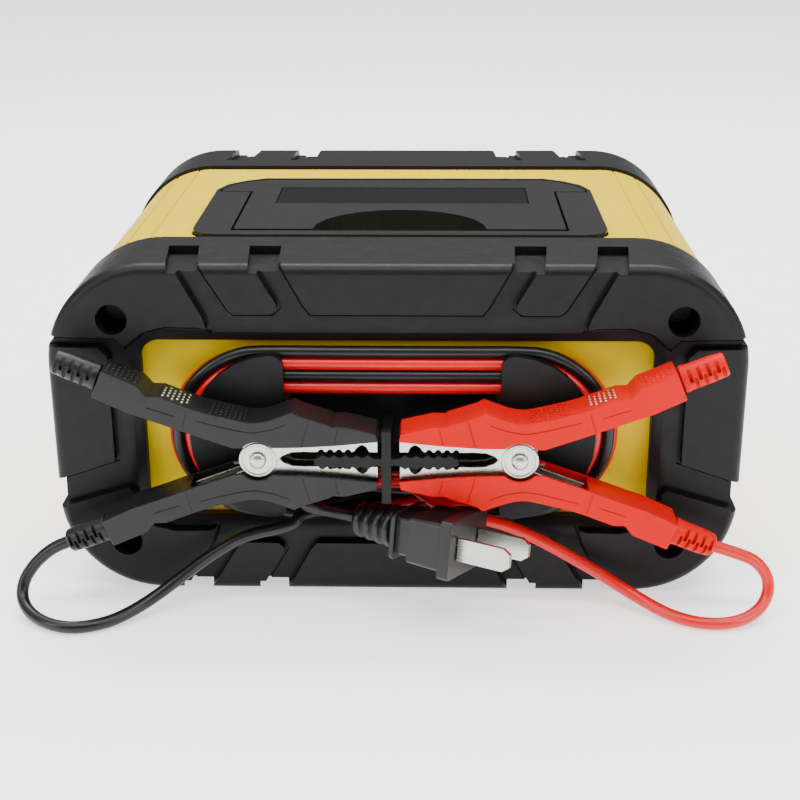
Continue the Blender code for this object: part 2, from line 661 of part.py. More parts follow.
# ---- handle ----
def handle():
    tray = prism("handle_tray", tray_outline(0.0), "XY", 0.0820, HANDLE_TOP, "handle_grey")
    pocket = [
        (-0.0513, -0.0441), (0.0513, -0.0441), (0.0513, 0.0093), (0.0617, 0.0093),
        (0.0617, 0.0130), (0.0590, 0.0200), (0.0540, 0.0255), (0.0480, 0.0293),
        (-0.0480, 0.0293), (-0.0540, 0.0255), (-0.0590, 0.0200), (-0.0617, 0.0130),
        (-0.0617, 0.0093), (-0.0513, 0.0093),
    ]
    cut(tray, prism("handle_tray_pocket", pocket, "XY", 0.0845, 0.110, None))
    holes = [(circle(HANDLE_AXIS[1], HANDLE_AXIS[2], 0.0019, 16), "YZ", -0.0590, -0.0500),
             (circle(HANDLE_AXIS[1], HANDLE_AXIS[2], 0.0019, 16), "YZ", 0.0500, 0.0590)]
    cut(tray, prisms("handle_tray_holes", holes))

    arch = arc(0.0, -0.0430, 0.0265, 0, 180, 12)
    grip = [
        (-0.0505, -0.0420), (-0.0265, -0.0420),
        *[(-x, -0.0420 + (y + 0.0430) * 0.95) for x, y in arch[1:-1]],
        (0.0265, -0.0420), (0.0505, -0.0420), (0.0505, 0.0101),
        (0.0611, 0.0101), (0.0611, 0.0130), (0.0584, 0.0197), (0.0536, 0.0247),
        (0.0478, 0.0280), (-0.0478, 0.0280), (-0.0536, 0.0247), (-0.0584, 0.0197),
        (-0.0611, 0.0130), (-0.0611, 0.0101), (-0.0505, 0.0101),
    ]
    bail = prism("handle", grip, "XY", 0.0895, HANDLE_TOP, "handle_grey", HANDLE_AXIS)
    seat = rectangle(-0.0413, 0.0413, -0.0077, 0.0157)
    cut(bail, prism("handle_inlay_seat", seat, "XY", 0.0997, 0.110, None))
    holes = [(circle(HANDLE_AXIS[1], HANDLE_AXIS[2], 0.0016, 16), "YZ", -0.0600, -0.0440),
             (circle(HANDLE_AXIS[1], HANDLE_AXIS[2], 0.0016, 16), "YZ", 0.0440, 0.0600)]
    cut(bail, prisms("handle_holes", holes))
    inlay = rectangle(-0.0410, 0.0410, -0.0074, 0.0154)
    prism("handle_inlay", inlay, "XY", 0.1000, HANDLE_TOP - 0.0001, "inlay_black", HANDLE_AXIS)
    for name, side in (("handle_pin_left", -1), ("handle_pin_right", 1)):
        ends = sorted((side * 0.0443, side * 0.0587))
        prism(name, circle(HANDLE_AXIS[1], HANDLE_AXIS[2], 0.0013, 16), "YZ", *ends, "plated_steel")


# ---- control end ----
BUTTONS = {"button_mode": -0.0300, "button_current": 0.0, "button_start": 0.0300}
BUTTON_Z = 0.0335


def control_end():
    edge = WINDOW_HALF - GAP
    low = WINDOW_LOW + GAP
    high = WINDOW_HIGH - GAP
    outer = rounded(-edge, edge, low, high, WINDOW_CORNER)
    panel = prism("control_panel", outer, "XZ", 0.0590, 0.0765, "inlay_black")
    inner = rounded(-edge + 0.0025, edge - 0.0025, low + 0.0025, high - 0.0025, 0.0045)
    cut(panel, prism("control_panel_hollow", inner, "XZ", 0.0500, 0.0735, None))
    holes = [(circle(x, BUTTON_Z, 0.0060), "XZ", 0.0700, 0.0800) for x in BUTTONS.values()]
    holes.append((rectangle(-0.0480, 0.0480, 0.0440, 0.0735), "XZ", 0.0700, 0.0800))
    cut(panel, prisms("control_panel_holes", holes))
    prism("display_lens", rectangle(-0.0477, 0.0477, 0.0443, 0.0732), "XZ", 0.0738, 0.0760, "lens_dark")
    prism("display_module", rectangle(-0.0500, 0.0500, 0.0425, 0.0745), "XZ", 0.0660, 0.0732, "core_grey")
    prism("control_board", rectangle(-0.0650, 0.0650, 0.0265, 0.0745), "XZ", 0.0640, 0.0656, "board_green")
    for name, x in BUTTONS.items():
        profile = ((0.0, 0.0055), (0.0085, 0.0055), (0.0095, 0.0048))
        turned(name, profile, (x, 0.0690, BUTTON_Z), (0, 1, 0), "button_grey",
               origin=(x, 0.0690, BUTTON_Z))


# ---- inside ----
def inside():
    prism("main_board", rectangle(-0.0800, 0.0585, -0.0450, 0.0450), "XY", 0.0085, 0.0101, "board_green")
    core = [
        (-0.0600, 0.0104), (-0.0240, 0.0104), (-0.0240, 0.0404), (-0.0300, 0.0404),
        (-0.0300, 0.0450), (-0.0540, 0.0450), (-0.0540, 0.0404), (-0.0600, 0.0404),
    ]
    prism("transformer", core, "XZ", -0.0150, 0.0170, "core_grey")
    fins = [(0.0000, 0.0104), (0.0560, 0.0104)]
    for k in range(7):
        x = 0.0560 - 0.0088 * k
        fins += [(x, 0.0420), (x - 0.0030, 0.0420)]
        if k < 6:
            fins += [(x - 0.0030, 0.0150), (x - 0.0088, 0.0150)]
    prism("heat_sink", fins, "XZ", -0.0400, -0.0050, "aluminium")
    turned("smoothing_capacitor", ((0.0, 0.0090), (0.0320, 0.0090), (0.0330, 0.0082)),
           (0.0180, 0.0220, 0.0104), (0, 0, 1), "inlay_black")

    centre = 0.0280
    frame = prism("fan_frame", rounded(-0.0200, 0.0200, 0.0080, 0.0480, 0.003, 2), "YZ",
                  0.0600, 0.0750, "inlay_black")
    cut(frame, prism("fan_frame_bore", circle(0.0, centre, 0.0185), "YZ", 0.0500, 0.0900, None))
    bars = [(rectangle(-0.0190, 0.0190, centre - 0.0020, centre + 0.0020), "YZ", 0.0600, 0.0620)]
    join(frame, prisms("fan_frame_bar", bars))
    blades = []
    for k in range(7):
        for radius, offset in ((0.0070, -14), (0.0172, 0), (0.0172, 16), (0.0070, 10)):
            angle = math.radians(360.0 * k / 7 + offset)
            blades.append((radius * math.cos(angle), centre + radius * math.sin(angle)))
    prism("fan_rotor", blades, "YZ", 0.0624, 0.0730, "inlay_black", (0.0624, 0.0, centre))


def build():
    clear_scene()
    make_materials()
    bumper("rear_bumper", -1, PANEL_Y + GAP)
    bumper("front_bumper", 1, 0.0603)
    case_bolts()
    upper_shell()
    lower_shell()
    cable_panel()
    cleat("cleat_left", -1)
    cleat("cleat_right", 1)
    parking_bar()
    clamp("black", -1)
    clamp("red", 1)
    cords()
    plug()
    handle()
    control_end()
    inside()


build()
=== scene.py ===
"""Looks of the car battery charger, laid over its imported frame. Metres, +Z up, cable end facing -Y."""
import math

import bmesh
import bpy
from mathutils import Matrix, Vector


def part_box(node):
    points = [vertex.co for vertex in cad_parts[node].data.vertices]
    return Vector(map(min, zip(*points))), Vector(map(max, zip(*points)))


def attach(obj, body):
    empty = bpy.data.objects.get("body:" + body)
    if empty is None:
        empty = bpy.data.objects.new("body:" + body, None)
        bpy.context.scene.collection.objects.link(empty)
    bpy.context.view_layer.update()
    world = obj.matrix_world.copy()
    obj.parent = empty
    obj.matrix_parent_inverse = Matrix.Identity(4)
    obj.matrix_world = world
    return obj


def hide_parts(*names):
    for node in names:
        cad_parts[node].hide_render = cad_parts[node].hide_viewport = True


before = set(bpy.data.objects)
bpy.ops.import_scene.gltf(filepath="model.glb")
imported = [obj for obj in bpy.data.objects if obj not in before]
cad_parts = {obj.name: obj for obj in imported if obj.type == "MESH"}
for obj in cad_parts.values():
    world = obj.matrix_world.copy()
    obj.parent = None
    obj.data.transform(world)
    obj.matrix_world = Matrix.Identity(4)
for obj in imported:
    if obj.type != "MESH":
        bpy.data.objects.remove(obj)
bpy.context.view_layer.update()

# ---- camera: low in front of the cable end, looking down a little ----
CAMERA_AT = (0.0104, -0.4791, 0.2099)
CAMERA_DOWN = 0.3595        # radians below the horizon
CAMERA_TURN = 0.0227        # radians to the left
CAMERA_ROLL = 0.0032        # radians about the world's Y axis
CAMERA_LENS = 66.4          # on a 36 mm sensor

# ---- sizes read off the frame ----
REAR_LOW, REAR_HIGH = (Vector(corner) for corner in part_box("rear_bumper"))
WIDTH = REAR_HIGH.x - REAR_LOW.x
HEIGHT = REAR_HIGH.z - REAR_LOW.z
FACE_Y = -REAR_LOW.y
BACK_Y = -REAR_HIGH.y
SHELL_HIGH = Vector(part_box("upper_shell")[1])
PANEL_Y = -Vector(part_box("cable_panel")[0]).y
RIVET_LOW, RIVET_HIGH = (Vector(corner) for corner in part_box("red_clamp_rivet"))
PIVOT = (RIVET_LOW + RIVET_HIGH) / 2      # of the red clamp; the black one mirrors it
CLAMP_LOW, CLAMP_HIGH = (Vector(corner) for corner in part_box("red_clamp_upper_lever"))
CLAMP_HALF = (CLAMP_HIGH.y - CLAMP_LOW.y) / 2

# ---- driving dimensions, as in the CAD except where said ----
GAP = 0.0003
BUMPER_CORNER = 0.030
BUMPER_SKIN = 0.0045
BUMPER_EDGE = 0.003
RELIEF_DEPTH = 0.0025
WINDOW_HALF = 0.0737
WINDOW_LOW = 0.0232
WINDOW_HIGH = 0.0778
WINDOW_CORNER = 0.0055      # tighter than the CAD's
WINDOW_LIP = 0.0030         # width of the window's sloping lip and thickness of its wall
WINDOW_SLOPE = 0.0045       # depth behind the face where the slope ends
SHELL_WALL = 0.0025
SHELL_CORNER = 0.0285
SPLIT_Z = 0.050
SCREW_X = 0.0805
SCREW_Z = (0.016, 0.085)
BOSS_RADIUS = 0.0070
BOLT_HEAD_RADIUS = 0.0045
BOLT_BORE_RADIUS = 0.0022
WALL_BACK = 0.0603          # inner end of the far bumper's window wall
CORD = 0.0036
CABLE_X = -0.0012           # middle of the cleats and the turns
CLAMP_X = -0.0019           # middle between the two clamps
WINDING_X = 0.0375
WINDING_Z = 0.0505
GLANDS = {"black": (-0.0150, -0.0766, 0.0262), "mains": (0.0, -0.0766, 0.0340),
          "red": (0.0150, -0.0766, 0.0290)}
PLUG_FACE = (0.0203, -0.1070, 0.0272)
PLUG_YAW = math.radians(-28.0)
PLUG_ROLL = math.radians(10.0)
BACK_ROW = -0.0786          # y of the turns next to the panel
FRONT_ROW = -0.0824         # y of the turns in front of them
LAYER = [0.0248 - CORD * k for k in range(4)]      # radius of the turns, outermost first


# ---- procedural materials ----
CLOUD_SCALE = 38.0
PATCH_SCALE = 240.0
GRAIN_HEIGHT = 0.0002


def add(tree, kind, **settings):
    """A new shader node with these constants on its sockets."""
    node = tree.nodes.new(kind)
    for key, value in settings.items():
        node.inputs[key].default_value = value
    return node


def noise(tree, coords, scale, detail, roughness):
    node = add(tree, "ShaderNodeTexNoise", Scale=scale, Detail=detail, Roughness=roughness)
    tree.links.new(coords, node.inputs["Vector"])
    return node.outputs["Fac"]


def spread(tree, value, low, high):
    """Maps a 0.3 to 0.7 noise onto low to high."""
    ends = {"From Min": 0.3, "From Max": 0.7, "To Min": low, "To Max": high}
    node = add(tree, "ShaderNodeMapRange", **ends)
    tree.links.new(value, node.inputs["Value"])
    return node.outputs["Result"]


def between(tree, value, first, second):
    """Colour that runs from first to second as the noise rises."""
    ramp = add(tree, "ShaderNodeValToRGB")
    ramp.color_ramp.elements[0].position = 0.35
    ramp.color_ramp.elements[1].position = 0.65
    ramp.color_ramp.elements[0].color = (*first, 1.0)
    ramp.color_ramp.elements[1].color = (*second, 1.0)
    tree.links.new(value, ramp.inputs["Fac"])
    return ramp.outputs["Color"]


def shade(colour, factor):
    return tuple(min(1.0, c * factor) for c in colour)


def surface(name, colour, roughness, grain=2600.0, bump=0.10, vary=0.06, metallic=0.0,
            specular=0.5, stretch=(1.0, 1.0, 1.0), coat=0.0, rough_vary=0.06):
    """A moulded, drawn or plated surface: fine grain in the bump, faint cloudiness in the colour."""
    mat = bpy.data.materials.new(name)
    mat.use_nodes = True
    tree = mat.node_tree
    shader = tree.nodes["Principled BSDF"]
    shader.inputs["Metallic"].default_value = metallic
    shader.inputs["Specular IOR Level"].default_value = specular
    shader.inputs["Coat Weight"].default_value = coat
    shader.inputs["Coat Roughness"].default_value = 0.12
    place = add(tree, "ShaderNodeTexCoord")
    mapping = add(tree, "ShaderNodeMapping", Scale=stretch)
    tree.links.new(place.outputs["Object"], mapping.inputs["Vector"])
    coords = mapping.outputs["Vector"]
    clouds = noise(tree, coords, CLOUD_SCALE, 4.0, 0.6)
    colours = between(tree, clouds, shade(colour, 1 - vary), shade(colour, 1 + vary))
    tree.links.new(colours, shader.inputs["Base Color"])
    patches = noise(tree, coords, PATCH_SCALE, 3.0, 0.55)
    rough = spread(tree, patches, roughness - rough_vary, roughness + rough_vary)
    tree.links.new(rough, shader.inputs["Roughness"])
    fine = noise(tree, coords, grain, 2.0, 0.6)
    relief = add(tree, "ShaderNodeBump", Strength=bump, Distance=GRAIN_HEIGHT)
    tree.links.new(fine, relief.inputs["Height"])
    tree.links.new(relief.outputs["Normal"], shader.inputs["Normal"])
    return mat


def make_materials():
    return {
        "bumper_black": surface("moulded_black", (0.0044, 0.0045, 0.0048), 0.44, bump=0.16, specular=0.19),
        "shell_yellow": surface("satin_yellow", (0.64, 0.46, 0.0), 0.42, grain=3200, bump=0.04,
                                specular=0.05, vary=0.02),
        "handle_grey": surface("moulded_grey", (0.011, 0.011, 0.012), 0.44, bump=0.12, specular=0.12),
        "inlay_black": surface("inlay_black", (0.004, 0.004, 0.005), 0.42, grain=3600, bump=0.20,
                               specular=0.06),
        "clamp_black": surface("clamp_black", (0.0090, 0.0092, 0.0098), 0.38, grain=3000, bump=0.05,
                               specular=0.26),
        "clamp_red": surface("clamp_red", (0.56, 0.0, 0.001), 0.40, grain=3000, bump=0.05, specular=0.08,
                             vary=0.03),
        "plated_steel": surface("plated_steel", (0.53, 0.54, 0.48), 0.30, grain=900, bump=0.04,
                                vary=0.05, metallic=1.0, stretch=(1.0, 1.0, 9.0)),
        # Case bolt heads: steel coloured near-black as painted shade, standing in for the dark of the deep
        # screw holes they sit in.
        "bolt_painted_shade": surface("steel_painted_shade", (0.020, 0.020, 0.021), 0.45, grain=900, bump=0.05,
                              metallic=1.0),
        "cord_black": surface("jacket_black", (0.0050, 0.0050, 0.0054), 0.34, grain=2600, bump=0.015,
                              specular=0.35, rough_vary=0.02),
        "cord_red": surface("jacket_red", (0.60, 0.001, 0.002), 0.30, grain=2600, bump=0.012,
                            vary=0.03, specular=0.40, rough_vary=0.02),
        "lens_dark": surface("display_lens_dark", (0.012, 0.016, 0.020), 0.10, bump=0.01,
                             rough_vary=0.02, coat=0.5),
        "board_green": surface("board_green", (0.018, 0.13, 0.05), 0.45, grain=500, bump=0.12),
        "aluminium": surface("milled_aluminium", (0.72, 0.73, 0.74), 0.36, grain=1200, bump=0.06,
                             metallic=1.0, stretch=(1.0, 8.0, 1.0)),
        "core_grey": surface("core_grey", (0.13, 0.13, 0.14), 0.55, bump=0.15),
        "button_grey": surface("button_grey", (0.17, 0.17, 0.18), 0.52, bump=0.12),
    }


MATERIALS = make_materials()


# ---- mesh helpers ----
def piece(name, verts, faces, slot, body):
    """A new mesh. With a slot it rides on a body and takes that finish; without one it is a tool."""
    mesh = bpy.data.meshes.new(name)
    mesh.from_pydata([tuple(v) for v in verts], [], faces)
    bm = bmesh.new()
    bm.from_mesh(mesh)
    bmesh.ops.recalc_face_normals(bm, faces=bm.faces)
    bm.to_mesh(mesh)
    bm.free()
    obj = bpy.data.objects.new(name, mesh)
    bpy.context.collection.objects.link(obj)
    if slot:
        mesh.materials.append(MATERIALS[slot])
        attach(obj, body)
    return obj


def bake(obj):
    """Turns the modifiers into plain mesh."""
    graph = bpy.context.evaluated_depsgraph_get()
    graph.update()
    mesh = bpy.data.meshes.new_from_object(obj.evaluated_get(graph))
    obj.modifiers.clear()
    obj.data = mesh


def combine(target, tool, operation):
    """Adds the tool to the target or cuts it out, and removes the tool."""
    step = target.modifiers.new(operation.lower(), "BOOLEAN")
    step.operation = operation
    step.solver = "EXACT"
    step.object = tool
    bake(target)
    bpy.data.objects.remove(tool, do_unlink=True)


def smooth_faces(obj):
    for face in obj.data.polygons:
        face.use_smooth = True


def weigh_normals(obj):
    """Smooth shading that keeps flat faces flat."""
    normals = obj.modifiers.new("normals", "WEIGHTED_NORMAL")
    normals.keep_sharp = False
    smooth_faces(obj)


def soften(obj, width, segments, angle=32.0, merge=0.00004):
    """Rounds the sharp edges and keeps flat faces flat."""
    if merge:
        weld = obj.modifiers.new("weld", "WELD")
        weld.merge_threshold = merge
    flat = obj.modifiers.new("flat", "DECIMATE")
    flat.decimate_type = "DISSOLVE"
    flat.angle_limit = math.radians(0.8)
    edge = obj.modifiers.new("edge", "BEVEL")
    edge.width = width
    edge.segments = segments
    edge.limit_method = "ANGLE"
    edge.angle_limit = math.radians(angle)
    edge.miter_outer = "MITER_ARC"
    edge.use_clamp_overlap = True
    weigh_normals(obj)


def finish_node(name, slot, width):
    """A CAD node that stays: better material, and softened edges where width isn't 0."""
    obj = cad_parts[name]
    obj.data.materials.clear()
    obj.data.materials.append(MATERIALS[slot])
    if width:
        soften(obj, width, 2, merge=0.0)
    else:
        smooth_faces(obj)
    return obj


def in_plane(plane, u, v, depth):
    """World point of (u, v) in a plane named by its two axes, at depth along the third."""
    if plane == "XY":
        return (u, v, depth)
    if plane == "XZ":
        return (u, depth, v)
    return (depth, u, v)


def prism_data(outline, plane, low, high, first):
    count = len(outline)
    verts = [in_plane(plane, u, v, low) for u, v in outline]
    verts += [in_plane(plane, u, v, high) for u, v in outline]
    faces = [[first + i for i in range(count)]]
    faces.append([first + count + i for i in range(count)])
    for i in range(count):
        j = (i + 1) % count
        faces.append([first + i, first + j, first + count + j, first + count + i])
    return verts, faces


def prisms(name, shapes, slot=None, body=None):
    """One mesh of (outline, plane, low, high) prisms. Without a slot it is a cutting tool."""
    verts = []
    faces = []
    for outline, plane, low, high in shapes:
        more_verts, more_faces = prism_data(outline, plane, low, high, len(verts))
        verts += more_verts
        faces += more_faces
    return piece(name, verts, faces, slot, body)


def rectangle(u_low, u_high, v_low, v_high):
    return [(u_low, v_low), (u_high, v_low), (u_high, v_high), (u_low, v_high)]


def arc(u, v, radius, start, end, steps):
    points = []
    for k in range(steps + 1):
        angle = math.radians(start + (end - start) * k / steps)
        points.append((u + radius * math.cos(angle), v + radius * math.sin(angle)))
    return points


def circle(u, v, radius, steps=32):
    return arc(u, v, radius, 0, 360, steps)[:-1]


def rounded(u_low, u_high, v_low, v_high, radius, steps):
    points = arc(u_high - radius, v_low + radius, radius, -90, 0, steps)
    points += arc(u_high - radius, v_high - radius, radius, 0, 90, steps)
    points += arc(u_low + radius, v_high - radius, radius, 90, 180, steps)
    points += arc(u_low + radius, v_low + radius, radius, 180, 270, steps)
    return points


def skin(name, loops, slot, body, closed=False):
    """A surface through the loops in turn, capped at both ends, or closed into a ring."""
    count = len(loops[0])
    verts = [point for loop in loops for point in loop]
    faces = []
    pairs = len(loops) if closed else len(loops) - 1
    for r in range(pairs):
        a = r * count
        b = ((r + 1) % len(loops)) * count
        for i in range(count):
            j = (i + 1) % count
            faces.append([a + i, a + j, b + j, b + i])
    if not closed:
        faces.append(list(range(count)))
        faces.append([len(verts) - count + i for i in range(count)])
    return piece(name, verts, faces, slot, body)


def turned(name, profile, centre, direction, slot, body, steps):
    """A solid of revolution from (distance, radius) pairs along a direction."""
    along = Vector(direction).normalized()
    side = along.cross(Vector((0, 0, 1)))
    if side.length < 0.01:
        side = along.cross(Vector((1, 0, 0)))
    side.normalize()
    up = side.cross(along)
    loops = []
    for distance, radius in profile:
        base = Vector(centre) + along * distance
        loops.append([base + side * u + up * v for u, v in circle(0, 0, radius, steps)])
    return skin(name, loops, slot, body)


def smooth_path(points, parts):
    """Catmull-Rom curve through the points, with each gap cut into parts."""
    knots = [Vector(p) for p in points]
    knots = [knots[0] * 2 - knots[1]] + knots + [knots[-1] * 2 - knots[-2]]
    path = []
    for a, b, c, d in zip(knots, knots[1:], knots[2:], knots[3:]):
        for k in range(parts):
            t = k / parts
            path.append(
                0.5 * (2 * b + (c - a) * t + (2 * a - 5 * b + 4 * c - d) * t * t
                       + (3 * b - a - 3 * c + d) * t * t * t)
            )
    path.append(knots[-2])
    return path


# ---- cords ----
# Free stretches, as in the CAD. A cord here skips the first point, where the CAD's own tail starts.
BLACK_TAIL = [
    (-0.0280, -0.0846, 0.0257), (-0.0280, -0.0862, 0.0257), (-0.0300, -0.0886, 0.0244),
    (-0.0347, -0.0900, 0.0234), (-0.0400, -0.0906, 0.0224), (-0.0455, -0.0912, 0.0208),
    (-0.0512, -0.0918, 0.0176), (-0.0572, -0.0926, 0.0136), (-0.0632, -0.0944, 0.0094),
    (-0.0690, -0.0973, 0.0058), (-0.0746, -0.1015, 0.0034), (-0.0806, -0.1066, 0.0022),
    (-0.0868, -0.1102, 0.0020), (-0.0930, -0.1112, 0.0020), (-0.0992, -0.1092, 0.0021),
    (-0.1044, -0.1054, 0.0026), (-0.1078, -0.1014, 0.0040), (-0.1090, -0.0985, 0.0066),
    (-0.1081, -0.0967, 0.0102), (-0.1053, -0.0958, 0.0142), (-0.1020, -0.0955, 0.0174),
    (-0.0988, -0.0953, 0.0196), (-0.0948, -0.0953, 0.0214),
]
RED_TAIL = [
    (0.0040, -0.0846, 0.0365), (0.0040, -0.0860, 0.0365), (0.0060, -0.0870, 0.0345),
    (0.0100, -0.0868, 0.0312), (0.0145, -0.0866, 0.0283), (0.0200, -0.0866, 0.0262),
    (0.0265, -0.0868, 0.0250), (0.0330, -0.0874, 0.0232), (0.0392, -0.0880, 0.0206),
    (0.0452, -0.0886, 0.0176), (0.0512, -0.0890, 0.0142), (0.0577, -0.0898, 0.0106),
    (0.0642, -0.0916, 0.0070), (0.0707, -0.0950, 0.0042), (0.0772, -0.1000, 0.0025),
    (0.0838, -0.1042, 0.0020), (0.0905, -0.1060, 0.0020), (0.0968, -0.1050, 0.0021),
    (0.1022, -0.1022, 0.0029), (0.1060, -0.0990, 0.0050), (0.1076, -0.0966, 0.0086),
    (0.1066, -0.0955, 0.0128), (0.1030, -0.0953, 0.0168), (0.0972, -0.0953, 0.0193),
    (0.0910, -0.0953, 0.0214),
]
MAINS_TAIL = [
    (-0.0290, -0.0846, 0.0329), (-0.0290, -0.0861, 0.0329), (-0.0284, -0.0878, 0.0318),
    (-0.0262, -0.0884, 0.0301), (-0.0230, -0.0874, 0.0285), (-0.0192, -0.0869, 0.0275),
    (-0.0155, -0.0880, 0.0272), (-0.0116, -0.0901, 0.0272),
]


def row_shift(row):
    """How much lower, further out and tighter the turns at the back lie than the front ones."""
    return (0.0012, 0.0018, 0.0005) if row == BACK_ROW else (0.0, 0.0, 0.0)


def bottom(layer, row, x):
    """A point on the bottom run of a turn."""
    drop, _, tighter = row_shift(row)
    return (x, row, WINDING_Z - drop - LAYER[layer] + tighter)


def one_turn(layer, row, way):
    """Up round one cleat, over the top and down round the other. way is +1 when the bottom runs +X."""
    drop, spread, tighter = row_shift(row)
    radius = LAYER[layer] - tighter
    middle = WINDING_X + spread
    centre_z = WINDING_Z - drop
    points = []
    for k in range(13):
        angle = math.radians(-90 + 15 * k)
        points.append((CABLE_X + way * (middle + radius * math.cos(angle)), row,
                       centre_z + radius * math.sin(angle)))
    for k in range(1, 4):
        points.append((CABLE_X + way * middle * (1 - 0.5 * k), row, centre_z + radius))
    for k in range(13):
        angle = math.radians(90 + 15 * k)
        points.append((CABLE_X + way * (-middle + radius * math.cos(angle)), row,
                       centre_z + radius * math.sin(angle)))
    return points


def cord(name, points, slot, replaced):
    path = smooth_path(points, 3)
    curve = bpy.data.curves.new(name, "CURVE")
    curve.dimensions = "3D"
    curve.bevel_depth = CORD / 2
    curve.bevel_resolution = 4
    curve.use_fill_caps = True
    spline = curve.splines.new("POLY")
    spline.points.add(len(path) - 1)
    for point, place in zip(spline.points, path):
        point.co = (*place, 1.0)
    spline.use_smooth = True
    curve.materials.append(MATERIALS[slot])
    obj = bpy.data.objects.new(name, curve)
    bpy.context.collection.objects.link(obj)
    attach(obj, "case")
    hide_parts(*replaced)


def make_cords():
    """Each cord runs from its gland through the back turns, then the front turns, to its free end."""
    black = [GLANDS["black"], (-0.0156, -0.0776, 0.0263), (-0.0175, -0.0785, 0.0272)]
    black += [bottom(1, BACK_ROW, -0.0260)] + one_turn(1, BACK_ROW, -1)
    black += [bottom(1, BACK_ROW, x) for x in (0.0250, 0.0120, 0.0, -0.0120)]
    black += [bottom(0, FRONT_ROW, -0.0280), bottom(0, FRONT_ROW, -0.0335)]
    black += one_turn(0, FRONT_ROW, -1)
    black += [bottom(0, FRONT_ROW, x) for x in (0.0250, 0.0120, 0.0, -0.0120, -0.0220)]
    cord("black_lead", black + BLACK_TAIL[1:], "cord_black",
         ("black_lead_winding", "black_lead_tail"))

    mains = [GLANDS["mains"], (0.0008, -0.0776, 0.0341), (0.0030, -0.0785, 0.0343)]
    mains += [bottom(2, BACK_ROW, 0.0160)] + one_turn(2, BACK_ROW, 1)
    mains += [bottom(2, BACK_ROW, -0.0250), bottom(2, BACK_ROW, -0.0140)]
    mains += [bottom(2, FRONT_ROW, 0.0040), bottom(2, FRONT_ROW, 0.0160)]
    mains += one_turn(2, FRONT_ROW, 1)
    cord("mains_cord", mains + [(-0.0350, FRONT_ROW - 0.0012, 0.0329)] + MAINS_TAIL[1:], "cord_black",
         ("mains_cord_winding", "mains_cord_tail"))

    red = [GLANDS["red"], (0.0156, -0.0776, 0.0289), (0.0175, -0.0785, 0.0280)]
    red += [bottom(0, BACK_ROW, 0.0260)] + one_turn(0, BACK_ROW, 1)
    red += [bottom(0, BACK_ROW, x) for x in (-0.0250, -0.0140, -0.0080)]
    red += [bottom(1, FRONT_ROW, x) for x in (0.0080, 0.0140, 0.0250)]
    red += one_turn(1, FRONT_ROW, 1)
    red += [bottom(1, FRONT_ROW, x) for x in (-0.0310, -0.0265)]
    red += [bottom(3, FRONT_ROW, x) for x in (-0.0100, 0.0, 0.0140, 0.0250)]
    red += one_turn(3, FRONT_ROW, 1)
    red += [(-0.0300, FRONT_ROW - 0.0004, 0.0365), (-0.0180, -0.0858, 0.0365), (-0.0070, -0.0862, 0.0365)]
    cord("red_lead", red + RED_TAIL[1:], "cord_red",
         ("red_lead_winding", "red_lead_inner_turns", "red_lead_tail"))


# ---- bumpers ----
def case_loop(inset, y):
    shape = rounded(-WIDTH / 2 + inset, WIDTH / 2 - inset, inset, HEIGHT - inset,
                    BUMPER_CORNER - inset, 18)
    return [(x, y, z) for x, z in shape]


def window_loop(outset, y):
    shape = rounded(-WINDOW_HALF - outset, WINDOW_HALF + outset, WINDOW_LOW - outset,
                    WINDOW_HIGH + outset, WINDOW_CORNER + outset, 18)
    return [(x, y, z) for x, z in shape]


RELIEF_MIDDLE = 0.0512      # z about which the bottom channels mirror the top ones


def relief_outline():
    """The lowered part of the end face: a band round the window, with channels out to the edges."""
    upper = [
        (-0.0240, 0.0867), (-0.0258, 0.0890), (-0.0339, 0.1040),
        (-0.0422, 0.1040), (-0.0337, 0.0896), (-0.0337, 0.0882), (-0.0354, 0.0867),
        (-0.0457, 0.0866), (-0.0473, 0.0878), (-0.0572, 0.1040),
        (-0.0645, 0.1040), (-0.0547, 0.0857), (-0.0538, 0.0822), (-0.0560, 0.0828),
        (-0.0660, 0.0830), (-0.0725, 0.0812), (-0.0775, 0.0768),
        (-0.0800, 0.0795), (-0.1040, 0.0800), (-0.1040, 0.0770), (-0.0850, 0.0765),
        (-0.0824, 0.0740),
    ]
    lower = [
        (-0.0824, 0.0418), (-0.0970, 0.0367), (-0.1040, 0.0343), (-0.1040, 0.0256),
        (-0.0947, 0.0284), (-0.0789, 0.0333), (-0.0774, 0.0322), (-0.0770, 0.0280),
    ]
    feet = [(x, 2 * RELIEF_MIDDLE - z) for x, z in reversed(upper[:16])]
    left = upper + lower + feet
    right = [(-x, z) for x, z in reversed(left)]
    return left + right


def shrunk(outline, distance):
    """The outline moved inwards by distance, corner by corner."""
    area = sum(a[0] * b[1] - b[0] * a[1] for a, b in zip(outline, outline[1:] + outline[:1]))
    turn = 1 if area > 0 else -1
    points = []
    for k, point in enumerate(outline):
        here = Vector(point)
        before = (here - Vector(outline[k - 1])).normalized()
        after = (Vector(outline[(k + 1) % len(outline)]) - here).normalized()
        normal_before = Vector((-before.y, before.x)) * turn
        normal_after = Vector((-after.y, after.x)) * turn
        middle = (normal_before + normal_after).normalized()
        reach = distance / max(0.5, middle.dot(normal_after))
        points.append(tuple(here + middle * reach))
    return points


MOAT_START = 0.00004        # distance from the pads' foot to the trench
MOAT_END = 0.0011
MOAT_DEPTH = 0.0008


def moat(side):
    """Narrow trench in the lowered part, along the foot of the raised pads."""
    shape = relief_outline()
    top = side * (FACE_Y - RELIEF_DEPTH + 0.0010)
    deep = side * (FACE_Y - RELIEF_DEPTH - MOAT_DEPTH)
    loops = []
    for distance, y in ((MOAT_START, top), (MOAT_START, deep), (MOAT_END, deep), (MOAT_END, top)):
        loops.append([(x, y, z) for x, z in shrunk(shape, distance)])
    return skin("moat", loops, None, None, closed=True)


